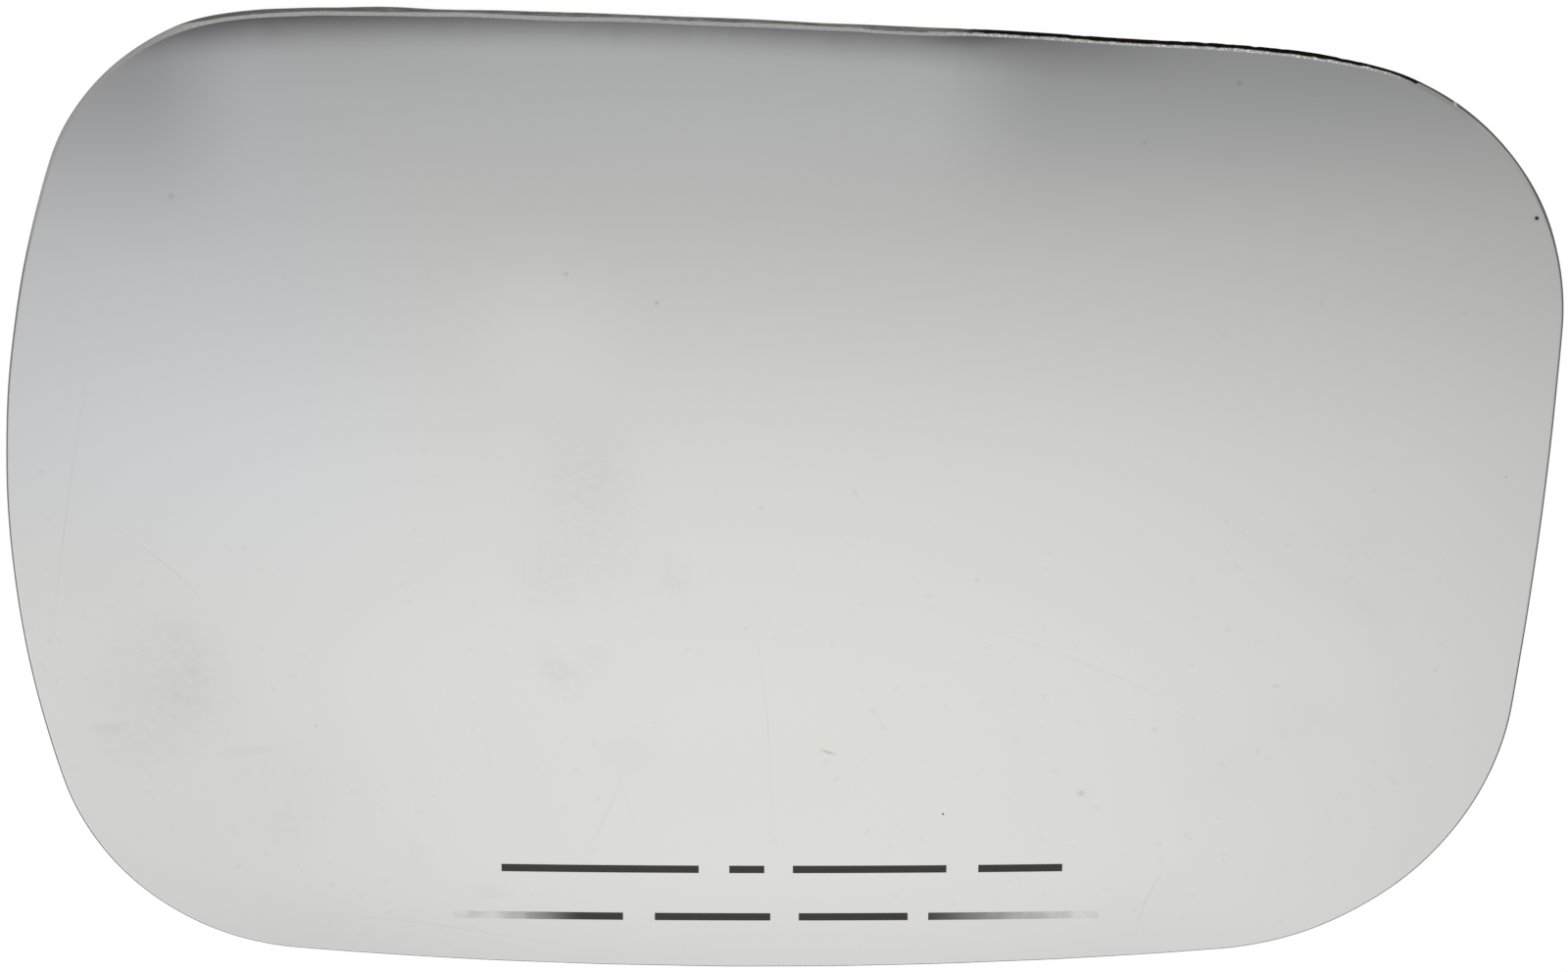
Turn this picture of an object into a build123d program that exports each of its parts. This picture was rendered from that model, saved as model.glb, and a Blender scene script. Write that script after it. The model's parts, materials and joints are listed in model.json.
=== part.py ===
from build123d import *

import math
import os

# Glass of a car door mirror, in millimetres: one plate of convex silvered glass, cut to shape and
# ground along its edges. It lies on its rim, silvered face up: +X to the right and +Y to the top
# as the glass is looked at, +Z out of the face. The origin is under the middle of its outline.

# Setting-out corners of the outline, where its four crowned sides would meet.
# The lower left corner is the datum, and the others are measured from it.
lower_right_across = 202.3
lower_right_up = 1.15
upper_left_across = 1.2
upper_left_up = 150.6
upper_right_across = 213.8
upper_right_up = 139.6

# How far each side bows outwards from the straight line between its setting-out corners
top_crown = 4.45
right_crown = 3.25
bottom_crown = 4.75
left_crown = 16.95

# Rounds at the corners
upper_left_round = 36.0
upper_right_round = 42.0
lower_right_round = 46.5
lower_left_round = 38.5

# The plate and its ground edges
face_radius = 1400.0
glass_thickness = 2.2
front_bevel = 0.45
rear_arris = 0.2


def outline_face() -> Sketch:
    """The outline seen from the front: four crowned sides, with a round at each corner."""
    lower_left = (0.0, 0.0)
    lower_right = (lower_right_across, lower_right_up)
    upper_right = (upper_right_across, upper_right_up)
    upper_left = (upper_left_across, upper_left_up)
    sides = [
        SagittaArc(lower_left, lower_right, -bottom_crown),
        SagittaArc(lower_right, upper_right, -right_crown),
        SagittaArc(upper_right, upper_left, -top_crown),
        SagittaArc(upper_left, lower_left, -left_crown),
    ]
    rounds = {
        lower_left: lower_left_round,
        lower_right: lower_right_round,
        upper_right: upper_right_round,
        upper_left: upper_left_round,
    }
    outline = make_face(sides)
    for corner, radius in rounds.items():
        sharp = outline.vertices().sort_by_distance(corner)[0]
        outline = fillet(sharp, radius)
    return outline


def rest_circle(outline: Sketch) -> tuple[tuple[float, float], float]:
    """Smallest circle round the outline: a bowed plate rests on the points that touch it."""
    stops = 720
    moves = 4000
    rim = outline.face().outer_wire()
    walk = [rim.position_at(stop / stops) for stop in range(stops)]
    points = [(point.X, point.Y) for point in walk]
    middle = outline.bounding_box().center()
    x, y = middle.X, middle.Y
    # Each move goes towards the farthest point, by an ever smaller share of the way to it
    for move in range(moves):
        far_x, far_y = max(points, key=lambda point: math.dist(point, (x, y)))
        share = 1 / (move + 2)
        x += share * (far_x - x)
        y += share * (far_y - y)
    reach = max(math.dist(point, (x, y)) for point in points)
    return (x, y), reach


def bent_plate(outline: Sketch) -> Part:
    """The outline cut from a shell between two concentric balls, with the rim about at Z 0."""
    (axis_x, axis_y), reach = rest_circle(outline)
    rear_radius = face_radius - glass_thickness
    centre_drop = math.sqrt(rear_radius**2 - reach**2)
    crown_top = face_radius - centre_drop
    # The balls lie with their poles along Y, so that no pole or seam falls on the glass
    centre = Pos(axis_x, axis_y, -centre_drop) * Rot(90, 0, 0)
    blank = Pos(0, 0, -glass_thickness) * extrude(outline, amount=crown_top + 2 * glass_thickness)
    return blank & (centre * Sphere(face_radius)) - (centre * Sphere(rear_radius))


def ground_edges(plate: Part) -> Part:
    """The front edge with its ground bevel, and the rear edge with its corner taken off."""
    front = plate.faces().filter_by(GeomType.SPHERE).sort_by(Axis.Z)[-1]
    plate = chamfer(front.edges(), front_bevel)
    rear = plate.faces().filter_by(GeomType.SPHERE).sort_by(Axis.Z)[0]
    return chamfer(rear.edges(), rear_arris)


def set_down(plate: Part) -> Part:
    """The plate with its lowest rim point at Z 0 and the middle of its box on the Z axis."""
    box = plate.bounding_box()
    middle = box.center()
    return Pos(-middle.X, -middle.Y, -box.min.Z) * plate


mirror_glass = set_down(ground_edges(bent_plate(outline_face())))
mirror_glass.label = "mirror_glass"

os.makedirs("parts", exist_ok=True)
export_step(mirror_glass, "parts/mirror_glass.step")
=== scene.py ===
"""Glass of a car door mirror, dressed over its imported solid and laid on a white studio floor.

The glass is one piece: a plate bent to a sphere, with a silvered face, a ground front bevel, a raw
cut edge and a painted back. Lengths are in metres, apart from the millimetres of the single marks on
it, of the waves in its edge and of the values whose names end in mm.
"""
import json
import logging
import math
from dataclasses import dataclass
from enum import Enum, IntEnum
from typing import Union

import bmesh
import bpy
from mathutils import Matrix, Vector, noise


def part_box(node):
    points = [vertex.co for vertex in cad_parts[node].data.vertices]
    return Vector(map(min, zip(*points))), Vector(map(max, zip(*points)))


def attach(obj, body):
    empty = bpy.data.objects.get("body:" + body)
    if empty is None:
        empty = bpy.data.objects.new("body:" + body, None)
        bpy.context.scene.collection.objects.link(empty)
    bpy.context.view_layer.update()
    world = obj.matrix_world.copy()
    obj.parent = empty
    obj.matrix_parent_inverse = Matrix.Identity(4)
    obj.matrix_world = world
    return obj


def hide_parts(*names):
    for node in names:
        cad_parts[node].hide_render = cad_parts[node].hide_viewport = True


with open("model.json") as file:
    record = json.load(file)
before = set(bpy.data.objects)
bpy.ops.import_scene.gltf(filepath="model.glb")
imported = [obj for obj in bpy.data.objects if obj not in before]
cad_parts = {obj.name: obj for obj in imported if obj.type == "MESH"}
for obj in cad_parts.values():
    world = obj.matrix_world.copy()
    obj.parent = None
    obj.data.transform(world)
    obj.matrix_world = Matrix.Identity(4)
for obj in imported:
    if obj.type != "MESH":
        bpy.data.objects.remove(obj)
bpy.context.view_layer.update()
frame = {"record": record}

MM = 0.001
GLASS_NODE = "mirror_glass"
BOND_MOUNT = "rear_bond_face"
BODY = "root"
DEPTH_LAYER = "edge_depth"
GRIME_LAYER = "grime"

Colour = tuple[float, float, float]
Feed = Union[bpy.types.NodeSocket, float, tuple]
log = logging.getLogger("mirror_glass")


class Zone(IntEnum):
    """The parts of the glass's surface, in the order of its material slots."""

    FACE = 0
    RIM = 1
    BACK = 2
    ETCHED = 3
    MARKED = 4


class NodeSheet:
    """Places and links the nodes of one shader tree."""

    def __init__(self, tree: bpy.types.NodeTree) -> None:
        """Empties a tree and takes charge of it."""
        self.tree = tree
        self.tree.nodes.clear()

    def add(self, kind: str, **settings: object) -> bpy.types.Node:
        """Adds a node.

        Args:
            kind: Blender's name for the node type.
            settings: Properties of the node, by name.

        Returns:
            The new node.
        """
        node = self.tree.nodes.new(kind)
        for name, value in settings.items():
            setattr(node, name, value)
        return node

    def feed(self, socket: bpy.types.NodeSocket, value: Feed) -> None:
        """Links a socket to another, or sets its own value.

        Args:
            socket: The input to feed.
            value: An output socket, a number or a tuple of numbers.
        """
        if isinstance(value, bpy.types.NodeSocket):
            self.tree.links.new(value, socket)
        else:
            socket.default_value = value

    def fill(self, node: bpy.types.Node, inputs: dict[str, Feed]) -> None:
        """Feeds several inputs of a node, by name."""
        for name, value in inputs.items():
            self.feed(node.inputs[name], value)

    def math(self, operation: str, *values: Feed) -> bpy.types.NodeSocket:
        """Works out one sum.

        Args:
            operation: Blender's name for the operation.
            values: Its inputs, in order.

        Returns:
            The result.
        """
        node = self.add("ShaderNodeMath", operation=operation)
        for socket, value in zip(node.inputs, values):
            self.feed(socket, value)
        return node.outputs[0]

    def product(self, first: Feed, *others: Feed) -> Feed:
        """All the given values multiplied."""
        for other in others:
            first = self.math("MULTIPLY", first, other)
        return first

    def vector(self, operation: str, *values: Feed) -> bpy.types.NodeSocket:
        """Works out one sum of vectors.

        Args:
            operation: Blender's name for the operation.
            values: Its inputs, in order.

        Returns:
            The result, which is a plain number for a length or a distance.
        """
        node = self.add("ShaderNodeVectorMath", operation=operation)
        for socket, value in zip(node.inputs, values):
            self.feed(socket, value)
        return node.outputs["Value" if operation in ("LENGTH", "DISTANCE") else "Vector"]

    def ease(
        self, value: Feed, start: Feed, end: Feed, low: Feed = 0.0, high: Feed = 1.0
    ) -> bpy.types.NodeSocket:
        """Goes smoothly from low to high as a value goes from start to end.

        Args:
            value: What is followed.
            start: Where the change begins.
            end: Where it is complete.
            low: Result before start.
            high: Result after end.

        Returns:
            The eased result.
        """
        node = self.add("ShaderNodeMapRange", interpolation_type="SMOOTHSTEP")
        ends = {"From Min": start, "From Max": end, "To Min": low, "To Max": high}
        self.fill(node, {"Value": value, **ends})
        return node.outputs["Result"]

    def band(self, value: Feed, rise: tuple[float, float], fall: tuple[float, float]) -> Feed:
        """Goes smoothly from 0 to 1 over the rise, and back to 0 over the fall."""
        return self.product(self.ease(value, *rise), self.ease(value, *fall, 1.0, 0.0))

    def blend(self, share: Feed, first: Feed, second: Feed) -> bpy.types.NodeSocket:
        """Mixes two colours.

        Args:
            share: How much of the second colour shows.
            first: Colour at share 0.
            second: Colour at share 1.

        Returns:
            The mixed colour.
        """
        node = self.add("ShaderNodeMix", data_type="RGBA")
        for place, value in ((0, share), (6, first), (7, second)):
            self.feed(node.inputs[place], value)
        return node.outputs[2]

    def bump(self, height: Feed, strength: float, rise: float) -> bpy.types.NodeSocket:
        """Turns a pattern into small bumps.

        Args:
            height: The pattern.
            strength: How strongly the bumps show, up to 1.
            rise: Their height, in metres.

        Returns:
            The surface's normal with the bumps in it.
        """
        node = self.add("ShaderNodeBump")
        self.fill(node, {"Height": height, "Strength": strength, "Distance": rise})
        return node.outputs["Normal"]

    def send_mix(self, output: str, share: Feed, first: bpy.types.Node, second: bpy.types.Node) -> None:
        """Mixes two shaders and sends them to the tree's output.

        Args:
            output: Blender's name for the type of the output node.
            share: How much of the second shader shows.
            first: Shader at share 0.
            second: Shader at share 1.
        """
        mix = self.add("ShaderNodeMixShader")
        for socket, value in zip(mix.inputs, (share, first.outputs[0], second.outputs[0])):
            self.feed(socket, value)
        self.feed(self.add(output).inputs["Surface"], mix.outputs[0])

    def place(self) -> bpy.types.NodeSocket:
        """Coordinates on the piece itself."""
        return self.add("ShaderNodeTexCoord").outputs["Object"]

    def flat_place(self) -> bpy.types.NodeSocket:
        """Coordinates on the piece as seen from the front, with no height."""
        return self.vector("MULTIPLY", self.place(), (1.0, 1.0, 0.0))

    def split(self, vector: Feed) -> tuple[bpy.types.NodeSocket, ...]:
        """X, Y and Z of a vector."""
        node = self.add("ShaderNodeSeparateXYZ")
        self.feed(node.inputs[0], vector)
        return tuple(node.outputs)

    def join(self, x: Feed, y: Feed, z: Feed) -> bpy.types.NodeSocket:
        """A vector from its X, Y and Z."""
        node = self.add("ShaderNodeCombineXYZ")
        for socket, value in zip(node.inputs, (x, y, z)):
            self.feed(socket, value)
        return node.outputs[0]


@dataclass(frozen=True)
class Mottle:
    """A soft random pattern of blots.

    Attributes:
        grain: Size of the blots, in metres.
        detail: How many finer layers the pattern has.
        start: Level of the plain pattern where a blot begins.
        end: Level where it is full.
    """

    grain: float
    detail: float = 2.0
    start: float = 0.3
    end: float = 0.7

    def plain(self, sheet: NodeSheet, place: Feed) -> bpy.types.NodeSocket:
        """Lays the pattern out in a shader.

        Args:
            sheet: The shader's node sheet.
            place: Coordinates that it is laid out in.

        Returns:
            The pattern, about 0.5 on the whole.
        """
        node = sheet.add("ShaderNodeTexNoise")
        sheet.fill(node, {"Vector": place, "Scale": 1 / self.grain, "Detail": self.detail})
        return node.outputs["Fac"]

    def sway(self, sheet: NodeSheet, place: Feed) -> bpy.types.NodeSocket:
        """The pattern about zero."""
        return sheet.math("SUBTRACT", self.plain(sheet, place), 0.5)

    def blots(self, sheet: NodeSheet, place: Feed, low: float = 0.0, high: float = 1.0) -> Feed:
        """The pattern's blots, from a low value between them to a high one in them."""
        return sheet.ease(self.plain(sheet, place), self.start, self.end, low, high)


@dataclass(frozen=True)
class Dots:
    """Small ragged dots of uneven strength, scattered over a surface.

    Attributes:
        pitch: Usual way from one to the next, in metres.
        size: Their radius, in metres.
        stray: How far their rims are drawn out, in radii.
        hidden: Share of the dots that are too faint to show.
    """

    pitch: float
    size: float
    stray: float = 1.6
    hidden: float = 0.35

    def mask(self, sheet: NodeSheet, place: Feed) -> Feed:
        """Marks the dots in a shader.

        Args:
            sheet: The shader's node sheet.
            place: Coordinates that they are laid out in.

        Returns:
            Mask of the dots.
        """
        ripple = sheet.add("ShaderNodeTexNoise", noise_dimensions="2D")
        sheet.fill(ripple, {"Vector": place, "Scale": 1 / self.size, "Detail": 0.0})
        drawn = (self.stray * self.size,) * 3
        ragged = sheet.vector("MULTIPLY_ADD", ripple.outputs["Color"], drawn, place)
        cells = sheet.add("ShaderNodeTexVoronoi", voronoi_dimensions="2D")
        sheet.fill(cells, {"Vector": ragged, "Scale": 1 / self.pitch})
        strength = sheet.ease(sheet.split(cells.outputs["Color"])[0], self.hidden, 1.0)
        return sheet.product(sheet.ease(cells.outputs["Distance"], self.size / self.pitch, 0.0), strength)


def rgba(colour: Colour) -> tuple[float, float, float, float]:
    """A colour with full alpha."""
    return (*colour, 1.0)


class Effect(Enum):
    """Shader groups that several finishes share."""

    SPOT = "round_spot"
    PATCH = "soft_patch"
    HAIRLINE = "hairline"

    def use(self, sheet: NodeSheet, **inputs: Feed) -> bpy.types.NodeSocket:
        """Places the group in a shader, making it first where it doesn't exist yet.

        Args:
            sheet: The shader to place it in.
            inputs: Values of the group's inputs, by name.

        Returns:
            The group's mask.
        """
        group = bpy.data.node_groups.get(self.value) or self._make()
        node = sheet.add("ShaderNodeGroup", node_tree=group)
        sheet.fill(node, inputs)
        return node.outputs["Mask"]

    def _make(self) -> bpy.types.NodeTree:
        """Builds the group.

        Returns:
            The new group.
        """
        group = bpy.data.node_groups.new(self.value, "ShaderNodeTree")
        names = {
            Effect.SPOT: ("Place", "Middle", "Radius"),
            Effect.PATCH: ("Place", "Middle", "Size", "Turn"),
            Effect.HAIRLINE: ("Place", "Middle", "Radius", "Width"),
        }
        for name in names[self]:
            kind = "NodeSocketVector" if name in ("Place", "Middle", "Size") else "NodeSocketFloat"
            group.interface.new_socket(name, in_out="INPUT", socket_type=kind)
        group.interface.new_socket("Mask", in_out="OUTPUT", socket_type="NodeSocketFloat")
        sheet = NodeSheet(group)
        given = sheet.add("NodeGroupInput").outputs
        if self is Effect.PATCH:
            turned = sheet.add("ShaderNodeVectorRotate", rotation_type="Z_AXIS", invert=True)
            off = sheet.vector("SUBTRACT", given["Place"], given["Middle"])
            sheet.fill(turned, {"Vector": off, "Angle": given["Turn"]})
            scaled = sheet.vector("DIVIDE", turned.outputs["Vector"], given["Size"])
            mask = sheet.ease(sheet.vector("LENGTH", scaled), 1.0, 0.0)
        else:
            away = sheet.vector("DISTANCE", given["Place"], given["Middle"])
            if self is Effect.HAIRLINE:
                away = sheet.math("ABSOLUTE", sheet.math("SUBTRACT", away, given["Radius"]))
            mask = sheet.ease(away, given["Radius" if self is Effect.SPOT else "Width"], 0.0)
        sheet.feed(sheet.add("NodeGroupOutput").inputs["Mask"], mask)
        return group


def surface(name: str) -> tuple[bpy.types.Material, NodeSheet, bpy.types.Node]:
    """Starts a material.

    Args:
        name: The material's name.

    Returns:
        The material, its node sheet and its shader.
    """
    material = bpy.data.materials.new(name)
    material.use_nodes = True
    sheet = NodeSheet(material.node_tree)
    shader = sheet.add("ShaderNodeBsdfPrincipled")
    sheet.feed(sheet.add("ShaderNodeOutputMaterial").inputs["Surface"], shader.outputs["BSDF"])
    return material, sheet, shader


def put_in_scene(name: str, mesh: bmesh.types.BMesh) -> bpy.types.Object:
    """Turns a finished mesh into an object of the scene.

    Args:
        name: Name of the object and of its mesh.
        mesh: The mesh, which is freed.

    Returns:
        The new object.
    """
    data = bpy.data.meshes.new(name)
    mesh.to_mesh(data)
    mesh.free()
    piece = bpy.data.objects.new(name, data)
    bpy.context.scene.collection.objects.link(piece)
    return piece


@dataclass(frozen=True)
class Smudge:
    """A faint stain on the face, with its lengths in millimetres.

    Attributes:
        x: Its middle, across the glass.
        y: Its middle, up the glass.
        reach_x: How far it spreads along its length.
        reach_y: How far it spreads aside.
        loss: Share of the reflection that it takes.
        turn: Angle of its length, anticlockwise from straight across, in degrees.
    """

    x: float
    y: float
    reach_x: float
    reach_y: float
    loss: float
    turn: float = 0.0

    @classmethod
    def round(cls, x: float, y: float, reach: float, loss: float) -> "Smudge":
        """A round stain."""
        return cls(x, y, reach, reach, loss)

    def at(self, place: Vector) -> float:
        """Works out the stain at a place on the glass.

        Args:
            place: The place, in metres.

        Returns:
            Share of the reflection that it takes there.
        """
        turn = math.radians(self.turn)
        across, up = place.x / MM - self.x, place.y / MM - self.y
        along = (across * math.cos(turn) + up * math.sin(turn)) / self.reach_x
        aside = (up * math.cos(turn) - across * math.sin(turn)) / self.reach_y
        near = max(0.0, 1 - math.hypot(along, aside))
        return self.loss * near * near * (3 - 2 * near)

    def near(self, place: Vector, slack: float) -> bool:
        """Whether the stain comes within a distance of a place on the glass, both in metres."""
        away = math.hypot(place.x / MM - self.x, place.y / MM - self.y)
        return away < max(self.reach_x, self.reach_y) + slack / MM

    def mask(self, sheet: NodeSheet, place: bpy.types.NodeSocket) -> bpy.types.NodeSocket:
        """Marks the stain in a shader.

        Args:
            sheet: The face's node sheet.
            place: Coordinates on the glass.

        Returns:
            The mask, 1 in its middle.
        """
        middle, size = (self.x * MM, self.y * MM, 0.0), (self.reach_x * MM, self.reach_y * MM, 1.0)
        if self.reach_x == self.reach_y:
            return Effect.SPOT.use(sheet, Place=place, Middle=middle, Radius=size[0])
        return Effect.PATCH.use(sheet, Place=place, Middle=middle, Size=size, Turn=math.radians(self.turn))


@dataclass(frozen=True)
class Scratch:
    """A hairline scratch that runs between two points along an arc, with its lengths in millimetres.

    Attributes:
        start: One end, across and up.
        end: The other end, across and up.
        radius: Radius of the arc, with its middle to the left of the way from start to end.
        loss: Share of the reflection that it takes.
        width: How far it spreads to each side.
        fade: How far from its middle it ends, as a share of the way between the two points.
    """

    start: tuple[float, float]
    end: tuple[float, float]
    radius: float
    loss: float
    width: float = 0.34
    fade: float = 0.62

    def _patch(self) -> Smudge:
        """The round patch in which the scratch shows, fading towards its ends."""
        start, end = Vector(self.start), Vector(self.end)
        return Smudge.round(*(start + end) / 2, (end - start).length * self.fade, 1.0)

    def _middle(self) -> Vector:
        """Middle of the arc, across and up."""
        way = Vector(self.end) - Vector(self.start)
        left = Vector((-way.y, way.x)).normalized()
        return Vector(self.start) + way / 2 + left * math.sqrt(self.radius**2 - (way.length / 2) ** 2)

    def near(self, place: Vector, slack: float) -> bool:
        """Whether the scratch comes within a distance of a place on the glass, both in metres."""
        off = abs((place.xy / MM - self._middle()).length - self.radius)
        return off < self.width + slack / MM and self._patch().near(place, slack)

    def mask(self, sheet: NodeSheet, place: bpy.types.NodeSocket) -> bpy.types.NodeSocket:
        """Marks the scratch, fading towards its ends.

        Args:
            sheet: The face's node sheet.
            place: Coordinates on the glass.

        Returns:
            The mask, 1 in its middle.
        """
        middle = self._middle() * MM
        line = Effect.HAIRLINE.use(
            sheet, Place=place, Middle=(*middle, 0.0), Radius=self.radius * MM, Width=self.width * MM
        )
        return sheet.product(line, self._patch().mask(sheet, place))


@dataclass(frozen=True)
class SilveredFace:
    """The bright face: silver behind glass, with wiped smudges, dried dots and a mottle.

    The mesh carries the broad smudges as an attribute.
    """

    name: str = "silvered_face"
    silver: Colour = (0.90, 0.903, 0.887)
    smudge_tint: Colour = (0.53, 0.52, 0.40)
    roughness: float = 0.02
    smudge_roughness: float = 0.10
    smudge_grain: Mottle = Mottle(1.6 * MM)
    smudge_range: tuple[float, float] = (0.6, 1.2)
    clouds: Mottle = Mottle(45 * MM, 1.0)
    cloud_depth: float = 0.012
    soil_dots: Dots = Dots(4.5 * MM, 0.6 * MM)
    soil_smears: Dots = Dots(6 * MM, 0.55 * MM)
    smear_squeeze: tuple[float, float] = (0.3, 0.7)
    soil_clusters: Mottle = Mottle(24 * MM, 1.0, 0.4, 0.62)
    cluster_range: tuple[float, float] = (0.3, 1.5)
    soil_range: tuple[float, float] = (0.015, 0.10)
    soil_y: tuple[float, float] = (25 * MM, -30 * MM)
    drops: tuple[Smudge, ...] = ()
    scratches: tuple[Scratch, ...] = ()

    def material(self) -> bpy.types.Material:
        """Makes the finish.

        Returns:
            The material.
        """
        material, sheet, shader = surface(self.name)
        shader.inputs["Metallic"].default_value = 1.0
        place = sheet.flat_place()
        dirt = sheet.math("ADD", self._dirt(sheet, place), self._soil(sheet, place))
        loss = sheet.math("ADD", dirt, self.clouds.blots(sheet, place, 0.0, self.cloud_depth))
        for scratch in self.scratches:
            loss = sheet.math("MULTIPLY_ADD", scratch.mask(sheet, place), scratch.loss, loss)
        colour = sheet.blend(loss, rgba(self.silver), rgba(self.smudge_tint))
        blur = sheet.math("MULTIPLY_ADD", dirt, self.smudge_roughness, self.roughness)
        sheet.fill(shader, {"Base Color": colour, "Roughness": blur})
        return material

    def _dirt(self, sheet: NodeSheet, place: Feed) -> Feed:
        """Adds up the smudges, which are grainy, and the dried drops.

        Args:
            sheet: The face's node sheet.
            place: Coordinates on the glass.

        Returns:
            How much dirt there is.
        """
        smudges = sheet.add("ShaderNodeAttribute", attribute_name=GRIME_LAYER).outputs["Fac"]
        total = sheet.product(smudges, self.smudge_grain.blots(sheet, place, *self.smudge_range))
        for drop in self.drops:
            total = sheet.math("MULTIPLY_ADD", drop.mask(sheet, place), drop.loss, total)
        return total

    def _soil(self, sheet: NodeSheet, place: Feed) -> Feed:
        """Spreads small dried dots and slanted smears, which grow thicker towards the lower edge.

        Args:
            sheet: The face's node sheet.
            place: Coordinates on the glass.

        Returns:
            How much they take.
        """
        x, y, _ = sheet.split(place)
        low = sheet.ease(y, *self.soil_y, *self.soil_range)
        clusters = self.soil_clusters.blots(sheet, place, *self.cluster_range)
        along = sheet.product(sheet.math("SUBTRACT", x, y), self.smear_squeeze[0])
        aside = sheet.product(sheet.math("ADD", x, y), self.smear_squeeze[1])
        smears = self.soil_smears.mask(sheet, sheet.join(along, aside, 0.0))
        dots = sheet.math("MAXIMUM", self.soil_dots.mask(sheet, place), smears)
        return sheet.product(dots, low, clusters)


@dataclass(frozen=True)
class MarkedFace(SilveredFace):
    """The bright face where single dried drops and hairline scratches lie on it."""

    name: str = "marked_face"
    drops: tuple[Smudge, ...] = (
        Smudge.round(110.2, 44.9, 0.9, 0.40),
        Smudge.round(-88.8, 49.0, 0.8, 0.34),
        Smudge.round(-31.4, 37.8, 0.62, 0.36),
        Smudge.round(-18.2, 33.4, 0.54, 0.48),
        Smudge.round(66.2, 66.9, 0.56, 0.50),
        Smudge.round(52.6, 58.1, 0.75, 0.18),
        Smudge.round(65.1, 55.6, 1.7, 0.06),
        Smudge.round(-109.4, 4.3, 0.88, 0.12),
        Smudge.round(-79.6, -7.2, 0.52, 0.18),
        Smudge.round(-69.8, -36.6, 0.46, 0.30),
        Smudge.round(-3.0, 0.6, 0.78, 0.16),
        Smudge.round(-5.2, -19.4, 0.5, 0.21),
        Smudge.round(-19.0, -35.3, 0.38, 0.25),
        Smudge.round(29.0, -11.4, 0.82, 0.16),
        Smudge.round(34.9, -38.3, 1.2, 0.11),
        Smudge.round(45.0, -47.6, 0.9, 0.34),
        Smudge.round(45.0, -47.2, 2.05, 0.06),
        Smudge.round(6.7, -42.0, 1.1, 0.10),
        Smudge.round(55.9, -37.0, 0.72, 0.20),
        Smudge.round(65.9, -2.4, 0.62, 0.18),
        Smudge.round(87.6, 2.0, 0.5, 0.16),
        Smudge.round(78.9, 32.4, 0.6, 0.22),
        Smudge.round(100.2, 30.2, 0.5, 0.24),
        Smudge.round(64.9, 27.6, 0.8, 0.09),
        Smudge(10.8, 3.1, 1.5, 0.7, 0.14, -50),
        Smudge(13.8, -33.3, 1.5, 0.65, 0.14, -32),
        Smudge(15.2, -35.9, 1.6, 0.75, 0.12, -52),
        Smudge(40.8, -43.7, 1.4, 0.8, 0.14, -25),
        Smudge(7.0, -40.2, 1.75, 0.42, 0.62, -20),
        Smudge(73.9, -29.9, 1.05, 0.6, 0.25, -15),
        Smudge(-100.8, -37.9, 5.2, 1.6, 0.12, 12),
        Smudge(-79.5, -41.2, 7.5, 1.3, 0.08, 7),
        Smudge(-44.1, -64.8, 4.2, 1.8, 0.10),
    )
    scratches: tuple[Scratch, ...] = (
        Scratch((-101.2, 24.7), (-109.6, -27.8), 700, 0.10),
        Scratch((-85.0, -17.4), (-100.2, -3.8), 52, 0.11),
        Scratch((-29.5, -57.3), (-23.7, -43.2), 58, 0.10),
        Scratch((-21.9, -54.5), (-24.3, -44.9), 60, 0.06),
        Scratch((-1.5, -53.7), (-4.3, -17.5), 200, 0.09),
        Scratch((-29.4, -74.8), (-76.5, -68.4), 280, 0.10),
        Scratch((58.1, -60.8), (53.9, -72.6), 23, 0.18),
        Scratch((62.7, -34.9), (29.5, -19.2), 168, 0.08),
        Scratch((-45.1, -34.8), (-42.3, -46.9), 60, 0.06),
        Scratch((-51.9, 40.3), (-51.0, 34.1), 40, 0.06),
    )

    def carries(self, place: Vector, slack: float) -> bool:
        """Whether a drop or a scratch comes within a distance of a place, both in metres."""
        return any(mark.near(place, slack) for mark in self.drops + self.scratches)


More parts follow.
